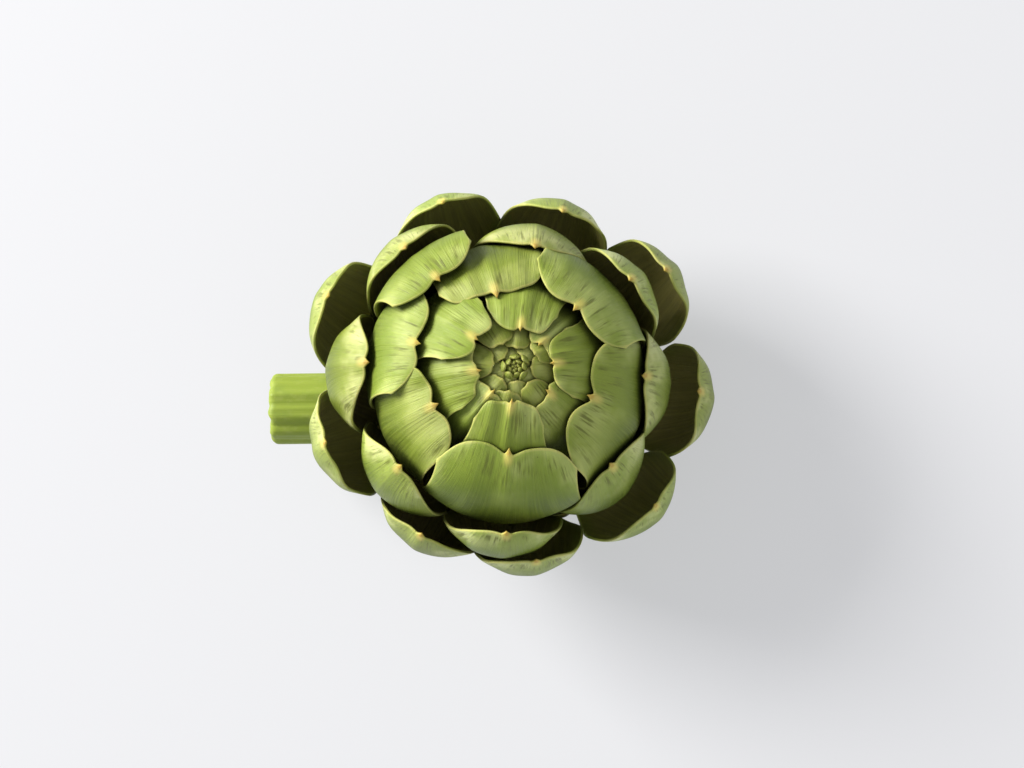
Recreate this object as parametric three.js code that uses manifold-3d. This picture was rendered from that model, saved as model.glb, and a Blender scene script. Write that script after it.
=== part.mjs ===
// A globe artichoke, picked and laid down on its bent stem. Lengths are in millimetres, angles in degrees.
// The head is drawn upright in a frame of its own: w runs up its axis from the joint with the stem,
// azimuth 0 points along +X and azimuth 90 along +Y. Then it is leaned over, as it lies on a table.
import * as THREE from 'three';
import { mergeVertices } from 'three/addons/utils/BufferGeometryUtils.js';
import Module from 'manifold-3d';

// How it lies: the head's axis leans by LEAN towards LEAN_AZIMUTH, and the joint sits at HEAD_BASE.
const LEAN = 26.2;
const LEAN_AZIMUTH = -6.7;
const HEAD_BASE = [-0.29, 1.55, 12.5];
const FLOOR_SIZE = 400;

// Clearances between neighbouring solids, and the thinnest edge of a bract.
const GAP = 0.3;
const EDGE_THICKNESS = 0.8;
const WELD = 1e-3;
const SAME_PLACE = 1e-5;
const SHORTEST_EDGE = 0.06;
const THINNEST_FACE = 0.01;
const CLEAN_PASSES = 400;

// How finely a bract is divided along and across, in the rings and in the bud.
const RING_GRID = { along: 5, across: 8 };
const LOWER_GRID = { along: 5, across: 6 };
const BUD_GRID = { along: 3, across: 4 };
const ALONG_POWER = 0.85;
const ACROSS_POWER = 1.5;

// The rings of bracts, from the middle to the stem. A bract's midline is a cubic Bezier curve in (r, w):
// from root, past a low handle at lowShare of the belly radius and lowHeight, past a high handle at
// highHeight that is solved so that the widest radius is the belly radius, to the tip at tipHeight.
// Half is half the width, baseShare the share of it at the root, taper what the tip loses of it.
// Cup holds the radius across the bract at the root and at the tip, thick the thickness at both. The cup
// opens late, as the power CUP_POWER of the share along.
// The rounded end falls back by side at the margins, by power, with a notch, dip wide, and a tooth at the
// middle.
// A row holds the azimuth of a bract, its belly radius and the radius of its tip, and where they differ
// from 1, how broad it is and how deep its notch is against the rest of its ring.
const RINGS = [
  {
    name: 'bract_inner', root: [14.5, 18], lowShare: 0.85, lowHeight: 18, highHeight: 80,
    tipHeight: 87, tipSlope: 0.2, lift: 0.5, half: 19, baseShare: 0.33, taper: 0.56,
    cup: [14, 34], thick: [2.4, 1.2], side: 0.06, power: 5, notch: 0.8, dip: 2.2, tooth: 1.1,
    colour: 0x8fae45,
    rows: [
      [82.5, 29, 9.5], [145, 30.5, 11.5], [-174, 28, 10], [-96.5, 31, 9], [-36, 26, 10.5], [6, 28, 9.5],
      [43, 26, 8.5], [-132, 26.5, 8.5],
    ],
  },
  {
    name: 'bract_third', root: [16, 14], lowShare: 0.84, lowHeight: 10, highHeight: 74,
    tipHeight: 83, tipSlope: 0.45, lift: 0.4, half: 19, baseShare: 0.3, taper: 0.22,
    cup: [17, 60], thick: [3.2, 1.5], side: 0.06, power: 5, notch: 1.8, dip: 4, tooth: 1.7,
    colour: 0x8cab42,
    rows: [
      [130, 41, 30, 0.88, 0.6], [104, 36, 19.5, 0.93, 0.6], [45, 37.5, 21, 1.08, 0.8],
      [-20, 36, 18.5, 1.2, 1.3], [-94, 38, 20, 1.2, 0.9], [-155, 36.5, 21, 0.84, 1.3],
      [165, 38, 25, 0.92, 0.9],
    ],
  },
  {
    name: 'bract_second', root: [15.5, 9.5], lowShare: 0.9, lowHeight: 0, highHeight: 56,
    tipHeight: 72, tipSlope: 0.7, lift: 0.2, half: 20.5, baseShare: 0.27, taper: 0,
    cup: [17, 19], thick: [3.4, 1.5], side: 0.36, power: 2.6, notch: 0.6, dip: 2.4, tooth: 1.7,
    colour: 0x93b34a,
    rows: [
      [130, 49, 43.5], [80, 43, 33.5, 1.2], [39, 46, 39.5], [-1, 43.5, 34.5], [-43, 43, 35], [-92, 46.5, 41],
      [-140, 45.5, 38], [176, 48.5, 38.5],
    ],
  },
  {
    name: 'bract_outer', root: [13.5, 4.5], lowShare: 0.9, lowHeight: -7, highHeight: 38,
    tipHeight: 56, tipSlope: 0.3, lift: 0.2, half: 19.5, baseShare: 0.25, taper: 0,
    cup: [17, 18.5], thick: [3.4, 1.5], side: 0.36, power: 2.6, notch: 0.6, dip: 2.4, tooth: 1.7,
    colour: 0x87a33f,
    rows: [
      [110.5, 55, 51], [72.5, 53.5, 48], [35.5, 57, 51.5], [-3, 56.5, 50.5], [-40.5, 54.5, 51],
      [-81.5, 51.5, 48.5], [-119.5, 50.5, 47], [-161, 55, 51.5], [155, 57, 53],
    ],
  },
  {
    name: 'bract_lower', root: [11.5, -0.5], lowShare: 0.85, lowHeight: -11, highHeight: 10,
    tipHeight: 22, tipSlope: 0, lift: 0, half: 12.5, baseShare: 0.27, taper: 0,
    cup: [20, 16], thick: [2, 1.2], side: 0.4, power: 2.3, notch: 0.5, dip: 2.4, tooth: 1.2,
    colour: 0x8aa745, grid: LOWER_GRID,
    rows: [
      [91, 37.5, 37], [53.5, 38, 37.5], [15, 38.5, 38], [-22, 37, 36.5], [-62, 37.5, 37], [-101, 37, 36.5],
      [-140, 38, 37.5], [177, 37, 36.5], [133, 38, 37.5],
    ],
  },
];
const CUP_POWER = 2.5;
const WIDEN_END = 0.62;
const TAPER_START = 0.6;
const TOOTH_WIDTH = 1.3;
const TOOTH_START = 0.93;
const KEEL_HEIGHT = 0.35;
const KEEL_WIDTH = 2;
const KEEL_START = 0.55;
const THICK_END = 0.85;
const THIN_START = 0.72;
const MARGIN_POWER = 2.4;
const SOLVE_PASSES = 30;
const SOLVE_STEP = 1.2;
const CURVE_STEPS = 200;

// The closed bud in the middle: small bracts on a golden-angle spiral, sunk into a core.
const BUD_COUNT = 22;
const GOLDEN_ANGLE = 137.508;
const BUD_START = 118.5;
const BUD = {
  lowShare: 1, lowHeight: 40, highHeight: 83, tipHeight: 86.5, tipSlope: 0, lift: 0, baseShare: 0.9,
  taper: 0.1, side: 0.12, power: 4, dip: 2.4, filled: true, colour: 0x86a23c,
};
// The bud's bracts are filled in behind, towards the axis and down into the core.
const FILL_SCALE = new THREE.Vector3(0.5, 0.5, 1);
const FILL_DROP = new THREE.Vector3(0, 0, 4);
const BUD_ROOT_HEIGHT = 30;
const CORE_PROFILE = [
  [0, 22.3], [12.5, 22.3], [16, 30], [19, 50], [17, 68], [10, 80], [4, 83], [0, 83.5],
];

// The stem runs down from the receptacle, bends at once and leaves sideways. Its centre line is in (s, w).
const STEM_AZIMUTH = 180.5;
const STEM_LINE = [[0, 10], [0, -13.5], [18, -12], [66, -16]];
const STEM_RADIUS = 10;
const STEM_FLARE = 3.5;
const STEM_FLARE_END = 0.16;
const STEM_RIBS = 10;
const STEM_RIB_HEIGHT = 0.35;
const STEM_RINGS = 10;
const STEM_SIDES = 20;
const STEM_END_ROUND = 0.9;
const RECEPTACLE_PROFILE = [[0, -2], [10, -2], [12.5, 1], [15, 7], [16.5, 12], [15, 19], [11, 22], [0, 22]];
const LATHE_SIDES = 24;

const wasm = await Module();
wasm.setup();

const smooth = (x) => THREE.MathUtils.smoothstep(x, 0, 1);
const radians = THREE.MathUtils.degToRad;
const signedPower = (q, power) => Math.sign(q) * Math.abs(q) ** power;

function mean(rows, column) {
  return rows.reduce((sum, row) => sum + row[column], 0) / rows.length;
}

// A bract's measures with its midline curve solved and measured.
function makeBract(ring, [azimuth, belly, tip, breadth = 1, dent = 1], meanBelly, meanTip) {
  const height = ring.tipHeight - ring.tipSlope * (tip - meanTip) + ring.lift * (belly - meanBelly);
  const high = new THREE.Vector2(belly, ring.highHeight);
  const curve = new THREE.CubicBezierCurve(
    new THREE.Vector2(...ring.root),
    new THREE.Vector2(belly * ring.lowShare, ring.lowHeight),
    high,
    new THREE.Vector2(tip, height),
  );
  for (let pass = 0; pass < SOLVE_PASSES; pass += 1) {
    const widest = Math.max(...curve.getPoints(CURVE_STEPS).map((point) => point.x));
    high.x += SOLVE_STEP * (belly - widest);
  }
  const angle = radians(azimuth);
  return {
    ...ring,
    half: ring.half * breadth,
    notch: ring.notch * dent,
    curve,
    length: curve.getLength(),
    out: new THREE.Vector3(Math.cos(angle), Math.sin(angle), 0),
    across: new THREE.Vector3(-Math.sin(angle), Math.cos(angle), 0),
  };
}

// Where the bract ends, as a share of its midline, at the place v across it (-1 to 1).
function endShare(bract, v) {
  const notch = (bract.notch / bract.length) * Math.exp(-(((v * bract.half) / bract.dip) ** 2));
  return 1 - bract.side * Math.abs(v) ** bract.power - notch;
}

// A point at u along and v across the bract, raised by lift from its outer face, and moved by slide
// along it and by step across it.
function bractPoint(bract, u, v, lift, slide = 0, step = 0) {
  const point = bract.curve.getPoint(u);
  const tangent = bract.curve.getTangent(Math.min(u, 1));
  const along = bract.out.clone().multiplyScalar(tangent.x);
  along.z = tangent.y;
  const normal = bract.out.clone().multiplyScalar(tangent.y);
  normal.z = -tangent.x;
  const widen = bract.baseShare + (1 - bract.baseShare) * smooth(u / WIDEN_END);
  const narrow = 1 - bract.taper * smooth((u - TAPER_START) / (1 - TAPER_START));
  const radius = THREE.MathUtils.lerp(bract.cup[0], bract.cup[1], Math.max(u, 0) ** CUP_POWER);
  const turn = (v * bract.half * widen * narrow) / radius;
  const [c, s] = [Math.cos(turn), Math.sin(turn)];
  const place = bract.out.clone().multiplyScalar(point.x);
  place.z += point.y;
  place.addScaledVector(bract.across, s * (radius + lift) + c * step);
  place.addScaledVector(normal, c * (radius + lift) - radius - s * step);
  return place.addScaledVector(along, slide);
}

function bractThickness(bract, share, u, v) {
  const middle = THREE.MathUtils.lerp(bract.thick[0], bract.thick[1], smooth(u / THICK_END));
  const thinning = (1 - Math.abs(v) ** MARGIN_POWER) * (1 - smooth((share - THIN_START) / (1 - THIN_START)));
  return EDGE_THICKNESS + Math.max(middle - EDGE_THICKNESS, 0) * thinning;
}

// The closed skin of a bract: an outer face, an inner face and the rim, swelled by grow but at the root.
function bractGeometry(bract, grid, grow) {
  const positions = [];
  const columns = grid.across + 1;
  for (const inner of [false, true]) {
    for (let i = 0; i <= grid.along; i += 1) {
      const share = (i / grid.along) ** ALONG_POWER;
      for (let j = 0; j < columns; j += 1) {
        const v = signedPower((2 * j) / grid.across - 1, ACROSS_POWER);
        const offset = Math.abs(v * bract.half);
        const tooth = (bract.tooth / bract.length) * Math.max(1 - offset / TOOTH_WIDTH, 0);
        const body = share * endShare(bract, v);
        const u = body + tooth * smooth((share - TOOTH_START) / (1 - TOOTH_START));
        const ridge = KEEL_HEIGHT * Math.exp(-((offset / KEEL_WIDTH) ** 2));
        const keel = ridge * smooth((share - KEEL_START) / (1 - KEEL_START));
        const depth = inner ? -bractThickness(bract, share, u, v) - grow : grow;
        const slide = grow * (i === grid.along);
        const step = grow * ((j === grid.across) - (j === 0));
        const place = bractPoint(bract, u, v, keel + depth, slide, step);
        if (inner && bract.filled) place.multiply(FILL_SCALE).sub(FILL_DROP);
        place.toArray(positions, positions.length);
      }
    }
  }
  const indices = [];
  const layer = columns * (grid.along + 1);
  const quad = (a, b, c, d) => indices.push(a, b, c, a, c, d);
  const mirrored = (a, b, c, d) => indices.push(a, b, d, b, c, d);
  for (let i = 0; i < grid.along; i += 1) {
    for (let j = 0; j < grid.across; j += 1) {
      const a = i * columns + j;
      const [b, c, d] = [a + 1, a + columns + 1, a + columns];
      const left = 2 * j < grid.across;
      (left ? mirrored : quad)(a, b, c, d);
      (left ? mirrored : quad)(layer + a, layer + d, layer + c, layer + b);
    }
  }
  const loop = [];
  for (let j = 0; j < grid.across; j += 1) loop.push(j);
  for (let i = 0; i < grid.along; i += 1) loop.push(i * columns + grid.across);
  for (let j = grid.across; j > 0; j -= 1) loop.push(grid.along * columns + j);
  for (let i = grid.along; i > 0; i -= 1) loop.push(i * columns);
  loop.forEach((a, k) => {
    const b = loop[(k + 1) % loop.length];
    quad(b, a, layer + a, layer + b);
  });
  return closedGeometry(positions, indices);
}

function closedGeometry(positions, indices) {
  const geometry = new THREE.BufferGeometry();
  geometry.setAttribute('position', new THREE.Float32BufferAttribute(positions, 3));
  geometry.setIndex(indices);
  return geometry;
}

// The bent stem, swelled by grow: ribbed rings along its centre line, closed by a rounded cut end.
function stemGeometry(grow) {
  const angle = radians(STEM_AZIMUTH);
  const out = new THREE.Vector3(Math.cos(angle), Math.sin(angle), 0);
  const side = new THREE.Vector3(-Math.sin(angle), Math.cos(angle), 0);
  const curve = new THREE.CubicBezierCurve(...STEM_LINE.map((pair) => new THREE.Vector2(...pair)));
  const positions = [];
  const ring = (share, shrink, slide) => {
    const point = curve.getPoint(share);
    const tangent = curve.getTangent(share);
    const along = out.clone().multiplyScalar(tangent.x);
    along.z = tangent.y;
    const across = new THREE.Vector3().crossVectors(along, side);
    const flare = STEM_FLARE * Math.exp(-((share / STEM_FLARE_END) ** 2));
    for (let k = 0; k < STEM_SIDES; k += 1) {
      const turn = (2 * Math.PI * k) / STEM_SIDES;
      const rib = STEM_RIB_HEIGHT * Math.cos(STEM_RIBS * turn);
      const radius = STEM_RADIUS + flare + rib + grow - shrink;
      const place = out.clone().multiplyScalar(point.x);
      place.z = point.y;
      place.addScaledVector(along, slide);
      place.addScaledVector(side, Math.cos(turn) * radius);
      place.addScaledVector(across, Math.sin(turn) * radius);
      place.toArray(positions, positions.length);
    }
  };
  for (let i = 0; i < STEM_RINGS; i += 1) ring(i / STEM_RINGS, 0, 0);
  ring(1, 0, grow - STEM_END_ROUND);
  ring(1, STEM_END_ROUND, grow);
  const rings = positions.length / (3 * STEM_SIDES);
  const indices = [];
  for (let i = 0; i < rings - 1; i += 1) {
    for (let k = 0; k < STEM_SIDES; k += 1) {
      const a = i * STEM_SIDES + k;
      const b = i * STEM_SIDES + ((k + 1) % STEM_SIDES);
      indices.push(a, b, b + STEM_SIDES, a, b + STEM_SIDES, a + STEM_SIDES);
    }
  }
  const last = (rings - 1) * STEM_SIDES;
  for (let k = 1; k < STEM_SIDES - 1; k += 1) {
    indices.push(0, k + 1, k);
    indices.push(last, last + k, last + k + 1);
  }
  return closedGeometry(positions, indices);
}

// A turned body from a profile of (r, w), swelled by grow.
function turnedGeometry(profile, grow) {
  const middle = mean(profile, 1);
  const points = profile.map(([r, w]) => {
    const wider = r > 0 ? r + grow : 0;
    return new THREE.Vector2(wider, w + grow * Math.sign(w - middle));
  });
  return new THREE.LatheGeometry(points, LATHE_SIDES).rotateX(Math.PI / 2);
}

// A closed geometry as a solid that can be joined and cut, with its faces pointing out.
function toSolid(geometry) {
  const bare = geometry.clone();
  bare.deleteAttribute('normal');
  bare.deleteAttribute('uv');
  const merged = mergeVertices(bare, SAME_PLACE);
  const vertices = merged.attributes.position.array;
  const whole = wholeTriangles(merged.index.array);
  if (signedVolume(vertices, whole) < 0) whole.reverse();
  const mesh = new wasm.Mesh({
    numProp: 3, vertProperties: new Float32Array(vertices), triVerts: new Uint32Array(whole),
  });
  const solid = new wasm.Manifold(mesh);
  merged.computeBoundingBox();
  return { solid, box: merged.boundingBox };
}

// The triangles whose three corners differ.
function wholeTriangles(triangles) {
  const whole = [];
  for (let k = 0; k < triangles.length; k += 3) {
    const [a, b, c] = triangles.slice(k, k + 3);
    if (a !== b && b !== c && c !== a) whole.push(a, b, c);
  }
  return whole;
}

function signedVolume(vertices, triangles) {
  const [p, q, r] = [new THREE.Vector3(), new THREE.Vector3(), new THREE.Vector3()];
  let volume = 0;
  for (let k = 0; k < triangles.length; k += 3) {
    p.fromArray(vertices, 3 * triangles[k]);
    q.fromArray(vertices, 3 * triangles[k + 1]);
    r.fromArray(vertices, 3 * triangles[k + 2]);
    volume += p.dot(q.cross(r)) / 6;
  }
  return volume;
}

// The largest body of a solid, joined across its edges, so that scraps and sealed hollows are left out.
function largestBody(solid) {
  const mesh = solid.getMesh();
  const whole = closedGeometry(Array.from(mesh.vertProperties), Array.from(mesh.triVerts));
  const welded = mergeVertices(whole, WELD);
  const vertices = welded.attributes.position.array;
  const triangles = wholeTriangles(welded.index.array);
  const count = triangles.length / 3;
  const parent = Array.from({ length: count }, (_, k) => k);
  const find = (k) => {
    let top = k;
    while (parent[top] !== top) {
      parent[top] = parent[parent[top]];
      top = parent[top];
    }
    return top;
  };
  const edges = new Map();
  for (let k = 0; k < 3 * count; k += 1) {
    const face = Math.floor(k / 3);
    const pair = [triangles[k], triangles[3 * face + ((k + 1) % 3)]];
    const key = `${Math.min(...pair)} ${Math.max(...pair)}`;
    if (edges.has(key)) parent[find(face)] = find(edges.get(key));
    else edges.set(key, face);
  }
  const bodies = new Map();
  for (let face = 0; face < count; face += 1) {
    const body = find(face);
    if (!bodies.has(body)) bodies.set(body, []);
    bodies.get(body).push(...triangles.slice(3 * face, 3 * face + 3));
  }
  const sizes = [...bodies.values()].map((list) => [signedVolume(vertices, list), list]);
  sizes.sort((one, other) => other[0] - one[0]);
  return cleanGeometry(vertices, sizes[0][1]);
}

// The same body with no edge shorter than SHORTEST_EDGE and no face thinner than THINNEST_FACE.
function cleanGeometry(vertices, triangles) {
  const points = [];
  for (let k = 0; k < vertices.length; k += 3) points.push(new THREE.Vector3().fromArray(vertices, k));
  const faces = [];
  for (let k = 0; k < triangles.length; k += 3) faces.push(Array.from(triangles.slice(k, k + 3)));
  for (let pass = 0; pass < CLEAN_PASSES; pass += 1) {
    if (!collapseShortEdge(points, faces) && !flipThinFace(points, faces)) break;
  }
  const used = [...new Set(faces.flat())];
  const order = new Map(used.map((vertex, k) => [vertex, k]));
  const positions = used.flatMap((vertex) => points[vertex].toArray());
  return closedGeometry(positions, faces.flat().map((vertex) => order.get(vertex)));
}

// Joins the ends of the first short edge whose ends have just the two neighbours of its faces in common.
function collapseShortEdge(points, faces) {
  for (const face of faces) {
    for (let k = 0; k < 3; k += 1) {
      const [a, b] = [face[k], face[(k + 1) % 3]];
      if (points[a].distanceTo(points[b]) < SHORTEST_EDGE) {
        const around = new Set(faces.filter((other) => other.includes(a)).flat());
        const beside = new Set(faces.filter((other) => other.includes(b)).flat());
        const shared = [...around].filter((vertex) => beside.has(vertex) && vertex !== a && vertex !== b);
        if (shared.length === 2) {
          const kept = faces.filter((other) => !(other.includes(a) && other.includes(b)));
          const moved = kept.map((other) => other.map((vertex) => (vertex === b ? a : vertex)));
          faces.splice(0, faces.length, ...moved);
          return true;
        }
      }
    }
  }
  return false;
}

function faceHeight(points, face) {
  const [a, b, c] = face.map((vertex) => points[vertex]);
  const longest = Math.max(a.distanceTo(b), b.distanceTo(c), c.distanceTo(a));
  return (2 * new THREE.Triangle(a, b, c).getArea()) / longest;
}

// Turns the longest edge of the first thin face to join its other corner to the face beyond.
function flipThinFace(points, faces) {
  for (const face of faces) {
    const height = faceHeight(points, face);
    if (height < THINNEST_FACE) {
      const lengths = face.map((vertex, k) => points[vertex].distanceTo(points[face[(k + 1) % 3]]));
      const k = lengths.indexOf(Math.max(...lengths));
      const [a, b, c] = [face[k], face[(k + 1) % 3], face[(k + 2) % 3]];
      const beyond = faces.find((other) => other !== face && other.includes(a) && other.includes(b));
      const d = beyond.find((vertex) => vertex !== a && vertex !== b);
      const joined = faces.some((other) => other.includes(c) && other.includes(d));
      const better = Math.min(faceHeight(points, [a, d, c]), faceHeight(points, [d, b, c])) > height;
      if (!joined && better) {
        faces.splice(faces.indexOf(face), 1, [a, d, c]);
        faces.splice(faces.indexOf(beyond), 1, [d, b, c]);
        return true;
      }
    }
  }
  return false;
}

// Everything already placed, each swelled by the gap, which a new piece is cut by.
const placed = [];

function cutFree(piece) {
  let { solid } = piece;
  for (const other of placed) {
    if (other.box.intersectsBox(piece.box)) solid = solid.subtract(other.solid);
  }
  return solid;
}

const head = new THREE.Group();
head.position.set(...HEAD_BASE);
const leanAngle = radians(LEAN_AZIMUTH);
head.quaternion.setFromAxisAngle(
  new THREE.Vector3(-Math.sin(leanAngle), Math.cos(leanAngle), 0), radians(LEAN),
);
head.updateMatrix();

// The table, turned into the head's frame, trims what would dip below it to small flats.
const floor = new THREE.BoxGeometry(FLOOR_SIZE, FLOOR_SIZE, FLOOR_SIZE);
floor.translate(0, 0, -FLOOR_SIZE / 2);
floor.applyMatrix4(head.matrix.clone().invert());
const floorSolid = toSolid(floor).solid;

function addPiece(name, solid, colour) {
  const material = new THREE.MeshStandardMaterial({ color: colour, roughness: 0.55, metalness: 0 });
  const geometry = largestBody(solid.subtract(floorSolid));
  geometry.computeVertexNormals();
  const mesh = new THREE.Mesh(geometry, material);
  mesh.name = name;
  head.add(mesh);
}

const receptacle = toSolid(turnedGeometry(RECEPTACLE_PROFILE, 0));
const stem = toSolid(stemGeometry(0));
addPiece('stem', stem.solid.add(receptacle.solid), 0x9db95a);
placed.push(toSolid(turnedGeometry(RECEPTACLE_PROFILE, GAP)), toSolid(stemGeometry(GAP)));

// The bud's bracts get narrower, shorter and closer to the axis towards the middle of the spiral.
let bud = toSolid(turnedGeometry(CORE_PROFILE, 0)).solid;
const budSwelled = [toSolid(turnedGeometry(CORE_PROFILE, GAP))];
for (let k = 0; k < BUD_COUNT; k += 1) {
  const rest = 1 - k / (BUD_COUNT - 1);
  const belly = 19 * rest ** 0.9 + 2.2;
  const half = 5.2 * rest ** 0.8 + 1.2;
  const ring = {
    ...BUD,
    root: [belly * 0.5, BUD_ROOT_HEIGHT],
    highHeight: BUD.highHeight - (1 - rest),
    tipHeight: BUD.tipHeight - 2 * (1 - rest),
    half,
    cup: [Math.max(belly * 0.8, 2), Math.max(half * 1.15, 2)],
    thick: [1, 1],
    notch: 0.3 * rest,
    tooth: 0.5 * rest + 0.1,
  };
  const tip = 6.6 * rest ** 1.15 + 0.25;
  const bract = makeBract(ring, [BUD_START + k * GOLDEN_ANGLE, belly, tip], belly, tip);
  bud = bud.add(toSolid(bractGeometry(bract, BUD_GRID, 0)).solid);
  budSwelled.push(toSolid(bractGeometry(bract, BUD_GRID, GAP)));
}
addPiece('bud', cutFree({ solid: bud, box: budSwelled[0].box }), BUD.colour);
placed.push(...budSwelled);

for (const ring of RINGS) {
  const meanBelly = mean(ring.rows, 1);
  const meanTip = mean(ring.rows, 2);
  ring.rows.forEach((row, index) => {
    const bract = makeBract(ring, row, meanBelly, meanTip);
    const grid = ring.grid ?? RING_GRID;
    const piece = toSolid(bractGeometry(bract, grid, 0));
    addPiece(`${ring.name}_${index + 1}`, cutFree(piece), ring.colour);
    placed.push(toSolid(bractGeometry(bract, grid, GAP)));
  });
}

const artichoke = new THREE.Group();
artichoke.add(head);

export default artichoke;
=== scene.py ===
import math

import bpy
import numpy as np
from mathutils import Matrix, Quaternion, Vector


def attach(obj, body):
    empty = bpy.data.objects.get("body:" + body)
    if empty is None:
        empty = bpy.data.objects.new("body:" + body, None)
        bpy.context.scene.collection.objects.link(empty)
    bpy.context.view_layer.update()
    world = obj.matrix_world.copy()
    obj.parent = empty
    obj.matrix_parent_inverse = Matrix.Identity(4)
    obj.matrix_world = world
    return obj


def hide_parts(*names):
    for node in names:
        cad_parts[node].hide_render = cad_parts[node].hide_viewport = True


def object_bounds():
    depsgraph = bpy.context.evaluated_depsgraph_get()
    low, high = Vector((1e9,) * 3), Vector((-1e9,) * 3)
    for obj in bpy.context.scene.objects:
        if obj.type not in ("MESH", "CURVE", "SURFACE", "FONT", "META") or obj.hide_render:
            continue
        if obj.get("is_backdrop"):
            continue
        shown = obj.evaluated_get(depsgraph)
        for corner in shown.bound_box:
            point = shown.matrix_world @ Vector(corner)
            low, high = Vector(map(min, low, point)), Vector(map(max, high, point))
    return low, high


# A globe artichoke, lying on its bent stem: the fine shapes, the finish, the light and the camera.
# Shapes are worked out in millimetres in the head's own frame, with w up its axis, and set down in metres.
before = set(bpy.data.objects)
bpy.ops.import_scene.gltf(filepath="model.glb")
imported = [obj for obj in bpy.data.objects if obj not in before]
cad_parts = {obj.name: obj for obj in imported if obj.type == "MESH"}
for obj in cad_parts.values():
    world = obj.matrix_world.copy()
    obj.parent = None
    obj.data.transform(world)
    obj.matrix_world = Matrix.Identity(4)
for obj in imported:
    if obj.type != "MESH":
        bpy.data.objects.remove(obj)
solid_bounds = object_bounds()

MM = 0.001
SEED = 11

# How it lies, as in the solids: the lean of the head's axis, its direction and the place of the joint.
LEAN = 26.2
LEAN_AZIMUTH = -6.7
HEAD_BASE = (-0.29, 1.55, 12.5)

# The camera, set against the head: the photograph looks a little off the head's axis.
IMAGE_WIDTH = 1024
IMAGE_HEIGHT = 768
CAMERA_DISTANCE = 650.0
CAMERA_TILT = 7.0
CAMERA_TILT_AZIMUTH = 65.0
PIXELS_PER_MM = 3.751
HEAD_MIDDLE_HEIGHT = 50.0
HEAD_MIDDLE_PIXEL = (508, 383)
SENSOR_WIDTH = 36.0
CLIP_START = 10.0

# The studio, in metres: two soft lights, a pale sky and a pale floor with a faint glow of its own.
LIGHT_AIM = (0.0, 0.0, 0.05)
LIGHTS = [
    {"name": "key", "place": (-1.25, 0.75, 1.30), "size": 1.0, "power": 72.0, "colour": (1.0, 0.97, 0.91)},
    {"name": "fill", "place": (0.7, -0.5, 0.9), "size": 0.9, "power": 2.5, "colour": (1.0, 1.0, 1.0)},
]
SKY_COLOUR = (0.95, 0.96, 1.0, 1.0)
SKY_STRENGTH = 0.28
FLOOR_HALF = 4.0
FLOOR_FINISH = {
    "Base Color": (0.231, 0.236, 0.255, 1.0), "Roughness": 0.9,
    "Emission Color": (0.975, 0.98, 1.0, 1.0), "Emission Strength": 0.5,
}

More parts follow.
